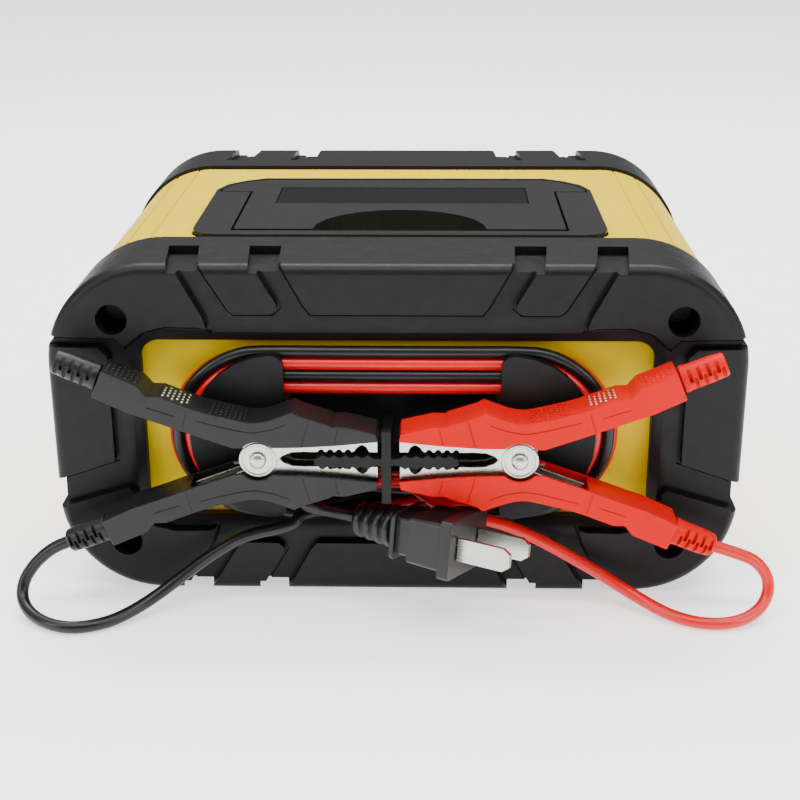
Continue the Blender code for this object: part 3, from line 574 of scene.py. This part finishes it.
# Slanted grooves over the top and bottom: x of both walls at the inner end, then at the outer end.
SLANTED_GROOVES = (((0.0667, 0.0579), (0.0636, 0.0547)), ((0.0431, 0.0339), (0.0408, 0.0325)))
# Grooves in the sides: lower and upper z.
SIDE_GROOVES = ((0.0267, 0.0356), (0.0772, 0.0798))
GROOVE_START = 0.0624       # y of the slanted grooves' inner end
BEYOND_FACE = 0.0900        # y past the end face, where every cut ends


def bumper_cuts(side):
    """Grooves over the top and bottom and in the sides."""
    grooves = []
    for sx in (-1, 1):
        for inner, outer in SLANTED_GROOVES:
            shape = [(sx * inner[0], side * GROOVE_START), (sx * inner[1], side * GROOVE_START),
                     (sx * outer[1], side * BEYOND_FACE), (sx * outer[0], side * BEYOND_FACE)]
            grooves.append((shape, "XY", HEIGHT - 0.0024, 0.110))
            grooves.append((shape, "XY", -0.010, 0.0030))
        for z_low, z_high in SIDE_GROOVES:
            low, high = sorted((sx * (WIDTH / 2 - 0.0022), sx * 0.110))
            ends = sorted((side * 0.0640, side * BEYOND_FACE))
            grooves.append((rectangle(low, high, z_low, z_high), "XZ", *ends))
    return grooves


def bumper(name, side, wall_end):
    loops = [case_loop(0.0, side * BACK_Y)]
    for k in range(9):
        angle = math.radians(90.0 * k / 8)
        inset = BUMPER_EDGE * (1 - math.cos(angle))
        y = FACE_Y - BUMPER_EDGE + BUMPER_EDGE * math.sin(angle)
        loops.append(case_loop(inset, side * y))
    loops.append(window_loop(WINDOW_LIP, side * FACE_Y))
    loops.append(window_loop(WINDOW_LIP, side * (FACE_Y - RELIEF_DEPTH)))
    loops.append(window_loop(0.0, side * (FACE_Y - WINDOW_SLOPE)))
    loops.append(window_loop(0.0, side * wall_end))
    loops.append(window_loop(WINDOW_LIP, side * wall_end))
    loops.append(window_loop(WINDOW_LIP, side * (FACE_Y - BUMPER_SKIN)))
    loops.append(case_loop(BUMPER_SKIN, side * (FACE_Y - BUMPER_SKIN)))
    loops.append(case_loop(BUMPER_SKIN, side * BACK_Y))
    body = skin(name + "_shell", loops, "bumper_black", "case", closed=True)

    corners = [(sx * SCREW_X, z) for sx in (-1, 1) for z in SCREW_Z]
    bosses = [(circle(x, z, BOSS_RADIUS), "XZ", *sorted((side * (FACE_Y - 0.0040), side * 0.0640)))
              for x, z in corners]
    combine(body, prisms("bosses", bosses), "UNION")
    relief_ends = sorted((side * (FACE_Y - RELIEF_DEPTH), side * BEYOND_FACE))
    combine(body, prisms("relief", [(relief_outline(), "XZ", *relief_ends)]), "DIFFERENCE")
    combine(body, moat(side), "DIFFERENCE")
    combine(body, prisms("grooves", bumper_cuts(side)), "DIFFERENCE")
    if side < 0:
        heads = [(circle(x, z, BOLT_HEAD_RADIUS), "XZ", -BEYOND_FACE, -0.0700) for x, z in corners]
        combine(body, prisms("heads", heads), "DIFFERENCE")
    bores = [(circle(x, z, BOLT_BORE_RADIUS, 20), "XZ", *sorted((side * 0.0600, side * 0.0760)))
             for x, z in corners]
    combine(body, prisms("bores", bores), "DIFFERENCE")
    soften(body, 0.0006, 3, 34.0)
    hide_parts(name)


# ---- shell ----
def shell_half(name, upper):
    x = SHELL_HIGH.x
    z = SHELL_HIGH.z if upper else 0.0
    sign = 1 if upper else -1
    edge = SPLIT_Z + sign * GAP / 2
    steps = 18
    corner_z = z - sign * SHELL_CORNER
    outline = [(x, edge)]
    outline += arc(x - SHELL_CORNER, corner_z, SHELL_CORNER, 0, sign * 90, steps)
    outline += arc(-x + SHELL_CORNER, corner_z, SHELL_CORNER, sign * 90, sign * 180, steps)
    outline.append((-x, edge))
    inner = x - SHELL_WALL
    inner_z = z - sign * SHELL_WALL
    inner_radius = SHELL_CORNER - SHELL_WALL
    outline.append((-inner, edge))
    outline += arc(-inner + inner_radius, inner_z - sign * inner_radius, inner_radius,
                   sign * 180, sign * 90, steps)
    outline += arc(inner - inner_radius, inner_z - sign * inner_radius, inner_radius,
                   sign * 90, 0, steps)
    outline.append((inner, edge))
    reach = BACK_Y - GAP
    return prisms(name, [(outline, "XZ", -reach, reach)], "shell_yellow", "case")


def tray_outline(grow):
    """The handle tray from above, with its back corners cut to follow the handle."""
    right = arc(0.0553, -0.0413, 0.0077 + grow, -90, 0, 8)
    right += [(x + grow, y + grow) for x, y in
              ((0.0630, 0.0128), (0.0604, 0.0206), (0.0550, 0.0266), (0.0484, 0.0307))]
    return right + [(-x, y) for x, y in reversed(right)]


SEAMS = ((0.0750, 0.0988), (0.0830, 0.0961))       # x of each fine line in the top, z of its floor
SEAM_HALF = 0.0003
VENT_PITCH = 0.0080
VENT_HALF = 0.0015


def shells():
    upper = shell_half("upper_wrap", True)
    combine(upper, prisms("opening", [(tray_outline(GAP), "XY", 0.080, 0.110)]), "DIFFERENCE")
    seams = []
    for sx in (-1, 1):
        for x, seam_floor in SEAMS:
            low, high = sorted((sx * (x - SEAM_HALF), sx * (x + SEAM_HALF)))
            seams.append((rectangle(low, high, seam_floor, 0.110), "XZ", -0.060, 0.060))
    combine(upper, prisms("seams", seams), "DIFFERENCE")
    soften(upper, 0.0003, 2, 34.0)
    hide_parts("upper_shell")

    lower = shell_half("lower_wrap", False)
    posts = [(circle(x, y, 0.0035, 20), "XY", 0.0020, 0.0082)
             for x in (-0.0700, 0.0480) for y in (-0.0380, 0.0380)]
    combine(lower, prisms("posts", posts), "UNION")
    slots = []
    for k in range(5):
        y = VENT_PITCH * (k - 2)
        for low, high in ((0.090, 0.110), (-0.110, -0.090)):
            slots.append((rectangle(y - VENT_HALF, y + VENT_HALF, 0.0280, 0.0440), "YZ", low, high))
    combine(lower, prisms("vents", slots), "DIFFERENCE")
    soften(lower, 0.0003, 2, 34.0)
    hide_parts("lower_shell")


# ---- clamps: local u runs from the rivet towards the tip, v away from the other lever ----
COVER_TOP = [
    (-0.0421, 0.0263), (-0.0322, 0.0220), (-0.0299, 0.0191), (-0.0266, 0.0190),
]
COVER_DIP = [
    (-0.0266, 0.0190), (-0.0158, 0.0149), (-0.0060, 0.0124), (-0.0016, 0.0116), (0.0030, 0.0122),
    (0.0100, 0.0148),
]
COVER_FRONT = [
    (0.0118, 0.0137), (0.0200, 0.0110), (0.0208, 0.0104), (0.0244, 0.0105),
    (0.0332, 0.0084), (0.0338, 0.0061), (0.0224, 0.0049), (0.0115, 0.0042),
    (-0.0067, 0.0039), (-0.0175, 0.0077), (-0.0228, 0.0097), (-0.0309, 0.0127),
    (-0.0360, 0.0145), (-0.0451, 0.0189),
]
COVER_SLOT = [
    (0.0400, 0.0064), (0.0220, 0.0085), (0.0110, 0.0106), (0.0020, 0.0093),
    (-0.0060, 0.0096), (-0.0195, 0.0132), (-0.0195, -0.0100), (0.0400, -0.0100),
]
JAW_TOP = [
    (0.0336, 0.0060), (0.0220, 0.0081), (0.0110, 0.0102), (0.0020, 0.0089),
    (-0.0060, 0.0092), (-0.0180, 0.0124), (-0.0190, 0.0096),
]
JAW_HOLLOW = [
    (0.0400, 0.0035), (0.0220, 0.0069), (0.0110, 0.0090), (0.0020, 0.0077),
    (-0.0060, 0.0080), (-0.0250, 0.0131), (-0.0250, -0.0100), (0.0400, -0.0100),
]
EAR = 0.0053
COVER_SLOT_HALF = 0.0049
UPPER_JAW_HALF = 0.0046
LOWER_JAW_HALF = 0.0031
JAW_SHEET = 0.0012
RIVET_HOLE = 0.0019
LINE_DEPTH = 0.00025
PIP_ALONG = 0.0013
PIP_ACROSS = 0.0020
PIP_SIDES = 8
BOOT_PITCH = 0.0026         # from one slot of a boot to the next
SPINE_HALF = 0.0022         # half width of the boot's solid spine
TAIL = (-0.0436, 0.0226)
TAIL_DIRECTION = (-0.927, 0.375)
TAIL_UP = (0.375, 0.927)


def pivot_x(side):
    return CLAMP_X + side * (PIVOT.x - CLAMP_X)


def to_world(outline, side, up):
    """Clamp (u, v) points as world (x, z)."""
    return [(pivot_x(side) - side * u, PIVOT.z + up * v) for u, v in outline]


def dip_curve():
    curve = smooth_path([(u, v, 0) for u, v in COVER_DIP], 5)
    return [(p.x, p.y) for p in curve]


def dip_height(u):
    """Height of the lever's back at u, by straight pieces."""
    line = COVER_TOP + COVER_DIP[1:] + COVER_FRONT[:5]
    for (u0, v0), (u1, v1) in zip(line, line[1:]):
        if u0 <= u <= u1:
            return v0 + (v1 - v0) * (u - u0) / (u1 - u0)
    return line[-1][1]


def strip(points, width):
    """Thin outline along a row of points, for an engraved line."""
    sides = []
    for sign in (1, -1):
        row = []
        for k, (u, v) in enumerate(points):
            a = Vector(points[max(k - 1, 0)])
            b = Vector(points[min(k + 1, len(points) - 1)])
            normal = (b - a).orthogonal().normalized()
            row.append((u + sign * normal.x * width / 2, v + sign * normal.y * width / 2))
        sides.append(row)
    return sides[0] + sides[1][::-1]


def clamp_cover(colour, level, side, up, body):
    name = f"{colour}_clamp_{level}_lever"
    outline = COVER_TOP[:-1] + dip_curve() + COVER_FRONT
    low = PIVOT.y - CLAMP_HALF
    high = PIVOT.y + CLAMP_HALF
    cover = prisms(name + "_cover", [(to_world(outline, side, up), "XZ", low, high)],
                   "clamp_" + colour, body)
    slot = to_world(COVER_SLOT, side, up)
    slot_ends = (PIVOT.y - COVER_SLOT_HALF, PIVOT.y + COVER_SLOT_HALF)
    combine(cover, prisms("slot", [(slot, "XZ", *slot_ends)]), "DIFFERENCE")
    ear = circle(pivot_x(side), PIVOT.z, EAR + 0.0005, 40)
    combine(cover, prisms("ear", [(ear, "XZ", low - 0.01, high + 0.01)]), "DIFFERENCE")
    soften(cover, 0.0011, 1, 28.0)
    bake(cover)
    lines = [
        strip([(-0.0205, 0.0095), (-0.0190, 0.0150)], 0.0004),
        strip([(0.0125, 0.0048), (0.0145, 0.0120)], 0.0004),
        strip([(0.0215, 0.0055), (0.0225, 0.0098)], 0.0004),
        strip([(u, dip_height(u) - 0.0030) for u in (-0.0165, -0.0100, -0.0050, -0.0010, 0.0040, 0.0085)],
              0.00035),
        strip([(-0.0300, 0.0160), (-0.0225, 0.0135)], 0.00035),
    ]
    cuts = []
    for line in lines:
        world = to_world(line, side, up)
        cuts.append((world, "XZ", low - 0.001, low + LINE_DEPTH))
        cuts.append((world, "XZ", high - LINE_DEPTH, high + 0.001))
    combine(cover, prisms("lines", cuts), "DIFFERENCE")
    weigh_normals(cover)
    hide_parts(name)


def pips(name, slot, first, count, rows, side, up, body):
    """One patch of small grip pips on the back of a lever, from u = first towards the tip."""
    verts = []
    faces = []
    for i in range(count):
        for j in range(rows):
            u = first + PIP_ALONG * i
            y = PIVOT.y + PIP_ACROSS * (j - (rows - 1) / 2) + (0.0005 if i % 2 else -0.0005)
            v = dip_height(u) - 0.00005
            start = len(verts)
            for radius, rise in ((0.00046, 0.0), (0.00040, 0.00024), (0.00016, 0.00036)):
                for a, b in circle(0, 0, radius, PIP_SIDES):
                    x, z = to_world([(u + a, v + rise)], side, up)[0]
                    verts.append((x, y + b, z))
            for ring in (start, start + PIP_SIDES):
                for k in range(PIP_SIDES):
                    n = (k + 1) % PIP_SIDES
                    faces.append([ring + k, ring + n, ring + PIP_SIDES + n, ring + PIP_SIDES + k])
            faces.append([start + 2 * PIP_SIDES + k for k in range(PIP_SIDES)])
    piece(name, verts, faces, slot, body)


def teeth():
    """Arc teeth along the jaw, with one larger notch near the tip."""
    points = [(0.0070, 0.0013), (0.0095, 0.0023), (0.0130, 0.0025), (0.0160, 0.0024)]
    for k in range(4):
        points += arc(0.0178 + 0.0025 * k, 0.0024, 0.0008, 180, 0, 6)
    points += [(0.0270, 0.0026), (0.0280, 0.0040), (0.0292, 0.0047), (0.0304, 0.0040),
               (0.0311, 0.0024), (0.0336, 0.0024)]
    return points


def clamp_jaw(colour, level, side, up, half_width, body):
    name = f"{colour}_clamp_{level}_jaw"
    outline = JAW_TOP + arc(0, 0, EAR, 135, 355, 36) + teeth()
    low = PIVOT.y - half_width
    high = PIVOT.y + half_width
    jaw = prisms(name + "_plate", [(to_world(outline, side, up), "XZ", low, high)],
                 "plated_steel", body)
    hollow = to_world(JAW_HOLLOW, side, up)
    combine(jaw, prisms("hollow", [(hollow, "XZ", low + JAW_SHEET, high - JAW_SHEET)]), "DIFFERENCE")
    hole = circle(pivot_x(side), PIVOT.z, RIVET_HOLE, 24)
    combine(jaw, prisms("hole", [(hole, "XZ", low - 0.01, high + 0.01)]), "DIFFERENCE")
    soften(jaw, 0.00022, 2, 34.0)
    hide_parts(name)


def clamp_boot(colour, level, side, up, body):
    """Ribbed sleeve on the lever's tail: staggered slots above and below leave a wavy spine."""
    name = f"{colour}_clamp_{level}_boot"
    u, v = TAIL
    du, dv = TAIL_DIRECTION
    start = to_world([(u + GAP * du, v + GAP * dv)], side, up)[0]
    direction = (-side * du, 0, up * dv)
    profile = ((0.0, 0.0034), (0.0004, 0.0039), (0.0014, 0.0040), (0.0018, 0.0038),
               (0.0090, 0.0037), (0.0125, 0.0034), (0.0130, 0.0030))
    boot = turned(name + "_sleeve", profile, (start[0], PIVOT.y, start[1]), direction,
                  "clamp_" + colour, body, 40)
    slots = []
    for k in range(4):
        for row, shift in ((1, 0.0), (-1, BOOT_PITCH / 2)):
            s = 0.0024 + BOOT_PITCH * k + shift
            box = []
            for along, across in ((s, -0.0006), (s + 0.0010, -0.0006), (s + 0.0010, 0.0050), (s, 0.0050)):
                box.append((u + du * along + TAIL_UP[0] * across * row,
                            v + dv * along + TAIL_UP[1] * across * row))
            world = to_world(box, side, up)
            slots.append((world, "XZ", PIVOT.y - 0.006, PIVOT.y - SPINE_HALF))
            slots.append((world, "XZ", PIVOT.y + SPINE_HALF, PIVOT.y + 0.006))
    combine(boot, prisms("slots", slots), "DIFFERENCE")
    soften(boot, 0.00015, 2, 40.0)
    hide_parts(name)
    return boot


def rivet(colour, side):
    name = f"{colour}_clamp_rivet"
    half = [(0.0049, 0.0016), (0.0049, 0.0022)]
    half += [(0.0051 + 0.0013 * math.sin(math.radians(a)), 0.0024 * math.cos(math.radians(a)))
             for a in (0, 15, 30, 45, 60, 72, 82)]
    profile = [(-d, r) for d, r in reversed(half)] + half
    pin = turned(name + "_pin", profile, (pivot_x(side), PIVOT.y, PIVOT.z), (0, 1, 0),
                 "plated_steel", "case", 40)
    smooth_faces(pin)
    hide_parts(name)


def ear_ring(colour, level, side, half_width, body):
    """Raised ring pressed round the rivet on both faces of a jaw."""
    for y, sign in ((PIVOT.y - half_width, -1), (PIVOT.y + half_width, 1)):
        loops = []
        for radius, rise in ((0.0053, -0.0001), (0.0052, 0.00025), (0.0044, 0.00025), (0.0041, -0.0001)):
            loops.append([(x, y + sign * rise, z) for x, z in circle(pivot_x(side), PIVOT.z, radius, 48)])
        ring = skin(f"{colour}_clamp_{level}_ring_{'near' if sign < 0 else 'far'}", loops,
                    "plated_steel", body, closed=True)
        smooth_faces(ring)


def clamp(colour, side):
    """A whole clamp; side is -1 for the left one. Returns the boot that the lead goes into."""
    top = colour + "_clamp_top"
    clamp_cover(colour, "upper", side, 1, top)
    clamp_cover(colour, "lower", side, -1, "case")
    for level, up, body in (("upper", 1, top), ("lower", -1, "case")):
        pips(f"{colour}_clamp_{level}_tail_pips", "clamp_" + colour, -0.0410, 7, 4, side, up, body)
        pips(f"{colour}_clamp_{level}_bright_pips", "plated_steel", -0.0258, 6, 4, side, up, body)
        pips(f"{colour}_clamp_{level}_waist_pips", "clamp_" + colour, -0.0125, 8, 5, side, up, body)
    clamp_jaw(colour, "upper", side, 1, UPPER_JAW_HALF, top)
    clamp_jaw(colour, "lower", side, -1, LOWER_JAW_HALF, "case")
    ear_ring(colour, "upper", side, UPPER_JAW_HALF, top)
    clamp_boot(colour, "upper", side, 1, top)
    rivet(colour, side)
    finish_node(colour + "_clamp_spring", "plated_steel", 0)
    return clamp_boot(colour, "lower", side, -1, "case")


# ---- plug ----
RIB_PITCH = 0.0033


def along_plug(distance, across=0.0, height=0.0):
    """World point: distance back from the plug's face, across its width, and up."""
    direction = Vector((math.cos(PLUG_YAW), math.sin(PLUG_YAW), 0.0))
    level = Vector((-math.sin(PLUG_YAW), math.cos(PLUG_YAW), 0.0))
    upright = Vector((0.0, 0.0, 1.0))
    sideways = level * math.cos(PLUG_ROLL) - upright * math.sin(PLUG_ROLL)
    up = upright * math.cos(PLUG_ROLL) + level * math.sin(PLUG_ROLL)
    return Vector(PLUG_FACE) - direction * distance + sideways * across + up * height


def plug():
    stations = (
        (0.0, 0.0115, 0.0084), (0.0035, 0.0115, 0.0084), (0.0035, 0.0098, 0.0070),
        (0.0143, 0.0094, 0.0067), (0.0143, 0.0078, 0.0056), (0.0185, 0.0078, 0.0056),
        (0.0185, 0.0094, 0.0068), (0.0200, 0.0092, 0.0066), (0.0213, 0.0064, 0.0056),
    )
    loops = []
    for distance, half_width, half_height in stations:
        shape = rounded(-half_width, half_width, -half_height, half_height, 0.0015, 4)
        loops.append([along_plug(distance, a, h) for a, h in shape])
    body = skin("plug_moulding", loops, "cord_black", "case")
    soften(body, 0.0004, 2, 40.0)
    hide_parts("plug_body")
    backwards = along_plug(1.0) - along_plug(0.0)
    ribs = [(0.0, 0.0050)]
    for k in range(4):
        start = 0.0008 + RIB_PITCH * k
        radius = 0.0062 - 0.0003 * k
        ribs += [(start, radius - 0.0014), (start + 0.0002, radius - 0.0002),
                 (start + 0.0005, radius), (start + 0.0019, radius),
                 (start + 0.0022, radius - 0.0002), (start + 0.0024, radius - 0.0014)]
    ribs += [(0.0139, 0.0040), (0.0142, 0.0034)]
    relief = turned("plug_ribs", ribs, along_plug(0.0216), backwards, "cord_black", "case", 32)
    smooth_faces(relief)
    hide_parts("plug_strain_relief")
    blades = [finish_node(name, "plated_steel", 0.0002) for name in ("plug_blade_near", "plug_blade_far")]
    return [body, relief, *blades]


# ---- parts that keep their CAD shape ----
KEPT = {
    "bumper_black": (("cleat_left", 0.0006), ("cleat_right", 0.0006), ("parking_bar", 0.0003),
                     ("gland_black_lead", 0.0003), ("gland_mains", 0.0003), ("gland_red_lead", 0.0003)),
    "shell_yellow": (("cable_panel", 0.0003),),
    "handle_grey": (("handle_tray", 0.0009), ("handle", 0.0010)),
    "inlay_black": (("handle_inlay", 0.0002), ("control_panel", 0.0005), ("smoothing_capacitor", 0.0003),
                    ("fan_frame", 0.0003), ("fan_rotor", 0.0002)),
    "plated_steel": (("handle_pin_left", 0.0002), ("handle_pin_right", 0.0002)),
    # The case bolts take the near-black steel, a painted shade for the screw holes.
    "bolt_painted_shade": (("case_bolt_left_upper", 0.0002), ("case_bolt_right_upper", 0.0002),
                   ("case_bolt_left_lower", 0.0002), ("case_bolt_right_lower", 0.0002)),
    "lens_dark": (("display_lens", 0.0003),),
    "core_grey": (("display_module", 0.0003), ("transformer", 0.0004)),
    "board_green": (("control_board", 0.0002), ("main_board", 0.0002)),
    "aluminium": (("heat_sink", 0.0002),),
    "button_grey": (("button_mode", 0.0004), ("button_current", 0.0004), ("button_start", 0.0004)),
}


def finger_recess():
    """The yellow shell seen at the bottom of the finger arch."""
    outline = arc(0.0, -0.0425, 0.0262, 0, 180, 24)
    floor_plate = prisms("finger_recess", [(outline, "XY", 0.0846, 0.0852)], "shell_yellow", "case")
    soften(floor_plate, 0.0001, 1, 40.0)


def kept_nodes():
    for slot, nodes in KEPT.items():
        for name, width in nodes:
            finish_node(name, slot, width)


# ---- studio ----
FLOOR_REACH = 6.0
FLOOR_Z = -0.0002


def floor():
    corners = rectangle(-FLOOR_REACH, FLOOR_REACH, -FLOOR_REACH, FLOOR_REACH)
    mesh = bpy.data.meshes.new("floor")
    mesh.from_pydata([(x, y, FLOOR_Z) for x, y in corners], [], [[0, 1, 2, 3]])
    obj = bpy.data.objects.new("floor", mesh)
    white = surface("floor_white", (0.92, 0.92, 0.92), 0.75, grain=60, bump=0.01, vary=0.004)
    shader = white.node_tree.nodes["Principled BSDF"]
    shader.inputs["Emission Color"].default_value = (1.0, 1.0, 1.0, 1.0)
    shader.inputs["Emission Strength"].default_value = 1.0
    mesh.materials.append(white)
    bpy.context.collection.objects.link(obj)


def area_light(name, at, target, size, power):
    data = bpy.data.lights.new(name, "AREA")
    data.shape = "RECTANGLE"
    data.size, data.size_y = size
    data.energy = power
    obj = bpy.data.objects.new(name, data)
    obj.location = at
    obj.rotation_euler = (Vector(target) - Vector(at)).to_track_quat("-Z", "Y").to_euler()
    bpy.context.collection.objects.link(obj)


def studio():
    world = bpy.data.worlds.new("studio")
    bpy.context.scene.world = world
    world.use_nodes = True
    world.node_tree.nodes["Background"].inputs["Color"].default_value = (1.0, 1.0, 1.0, 1.0)
    world.node_tree.nodes["Background"].inputs["Strength"].default_value = 0.30
    middle = (0.0, -0.02, 0.05)
    area_light("top_softbox", (0.0, 0.3, 3.0), (0.0, 0.3, 0.0), (6.0, 6.0), 200.0)
    area_light("key_softbox", (0.0, 0.45, 1.05), middle, (1.0, 0.45), 16.0)
    area_light("edge_strip", (0.0, -0.47, 1.05), middle, (1.3, 0.07), 8.0)
    area_light("left_softbox", (-1.10, -0.75, 0.55), middle, (0.4, 0.6), 7.0)
    area_light("right_softbox", (1.10, -0.75, 0.55), middle, (0.4, 0.6), 7.0)


def camera():
    data = bpy.data.cameras.new("camera")
    data.lens = CAMERA_LENS
    data.sensor_width = 36.0
    data.clip_start = 0.01
    obj = bpy.data.objects.new("camera", data)
    obj.location = CAMERA_AT
    obj.rotation_mode = "XYZ"
    obj.rotation_euler = (math.pi / 2 - CAMERA_DOWN, CAMERA_ROLL, CAMERA_TURN)
    bpy.context.collection.objects.link(obj)
    bpy.context.scene.camera = obj


camera()
studio()
floor()
black_boot = clamp("black", -1)
red_boot = clamp("red", 1)
plug_pieces = plug()
make_cords()
bumper("rear_bumper", -1, PANEL_Y + GAP)
bumper("front_bumper", 1, WALL_BACK)
shells()
kept_nodes()
finger_recess()
